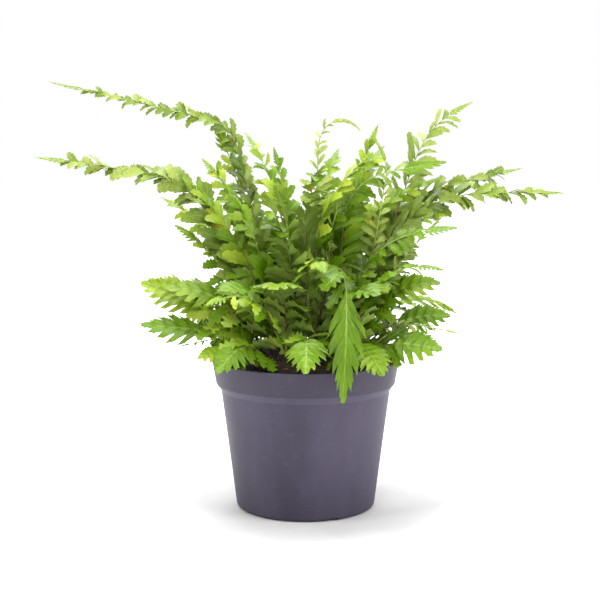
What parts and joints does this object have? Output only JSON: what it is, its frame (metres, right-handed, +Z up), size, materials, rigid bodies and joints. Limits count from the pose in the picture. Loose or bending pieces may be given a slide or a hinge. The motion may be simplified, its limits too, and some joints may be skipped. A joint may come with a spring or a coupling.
{
  "type": "potted fern",
  "caption": "Young fern with long toothed fronds growing out of a round plastic nursery pot with a plain collar, for standing on a table or shelf.",
  "frame": {"origin": "middle of the pot's base, in the plane that it stands on", "axes": "+Z up along the pot's axis; -Y towards the front, where a broad frond hangs over the rim; +X to the right seen from the front, along the longest spread of fronds"},
  "size_m": [0.3313, 0.1925, 0.2717],
  "materials": {
    "pot_plastic": "moulded, satin to matt, dark grey",
    "soil": "crumbly peat and bark, matt",
    "crown": "scaly rootstock, matt",
    "frond": "leathery leaf, satin, slightly translucent",
    "frond_pale": "thin pale leaf, satin, slightly translucent"
  },
  "bodies": {
    "root": {"nursery_pot": "pot_plastic", "potting_soil": "soil", "crown": "crown", "long_frond_left": "frond_pale", "long_frond_left_upper": "frond_pale", "long_frond_right_upper": "frond_pale", "long_frond_right": "frond_pale", "long_frond_right_rear": "frond_pale", "inner_frond_left": "frond", "inner_frond_middle": "frond_pale", "inner_frond_right_stalk": "frond_pale", "upper_frond_right": "frond", "upper_frond_right_lower": "frond", "inner_frond_right": "frond", "inner_frond_right_front": "frond", "inner_frond_front": "frond", "inner_frond_left_front": "frond", "inner_frond_left_rear": "frond", "low_frond_front": "frond", "low_frond_front_left": "frond", "low_frond_front_right": "frond", "low_frond_right_front": "frond", "low_frond_right": "frond", "low_frond_right_lower": "frond_pale", "low_frond_left_front": "frond", "low_frond_left_rim": "frond", "low_frond_left": "frond", "low_frond_left_lower": "frond", "low_frond_left_tip": "frond_pale", "low_frond_rear_right": "frond", "low_frond_rear": "frond", "low_frond_rear_middle": "frond", "low_frond_rear_left": "frond", "low_frond_middle_front": "frond", "low_frond_middle_left": "frond", "low_frond_middle_right": "frond", "low_frond_left_inner": "frond", "low_frond_right_inner": "frond", "low_frond_middle_rear": "frond", "upper_frond_front": "frond", "upper_frond_right_front": "frond", "upper_frond_right_rear": "frond", "upper_frond_rear": "frond", "upper_frond_rear_left": "frond", "upper_frond_left_rear": "frond", "upper_frond_left": "frond", "upper_frond_left_front": "frond", "middle_frond_right": "frond_pale", "middle_frond_right_leaf": "frond", "middle_frond_front": "frond", "middle_frond_right_front": "frond", "middle_frond_right_rear": "frond", "middle_frond_rear_right": "frond", "middle_frond_rear": "frond", "middle_frond_rear_left": "frond", "middle_frond_left_rear": "frond", "middle_frond_left": "frond", "middle_frond_left_front": "frond"}
  },
  "joints": []
}
